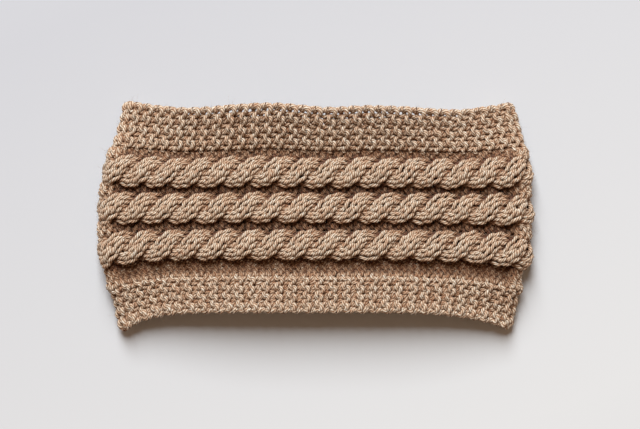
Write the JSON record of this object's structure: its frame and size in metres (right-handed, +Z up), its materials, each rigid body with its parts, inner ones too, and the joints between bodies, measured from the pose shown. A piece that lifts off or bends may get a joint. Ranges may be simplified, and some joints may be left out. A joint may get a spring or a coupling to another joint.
{
  "type": "ear warmer headband",
  "caption": "Cable-knit wool ear warmer headband, a wide loop with rope cables between garter borders, lying folded flat.",
  "frame": {"origin": "middle of the bounding box in X and Y, on the surface that the folded band lies on", "axes": "+X along the folded band from fold to fold, +Y across it towards the upper border, +Z up through the front layer"},
  "size_m": [0.24, 0.1228, 0.023],
  "materials": {
    "wool_yarn": "matt plied wool yarn, knitted"
  },
  "bodies": {
    "root": {"band": "wool_yarn", "cable_upper": "wool_yarn", "cable_middle": "wool_yarn", "cable_lower": "wool_yarn"}
  },
  "joints": []
}
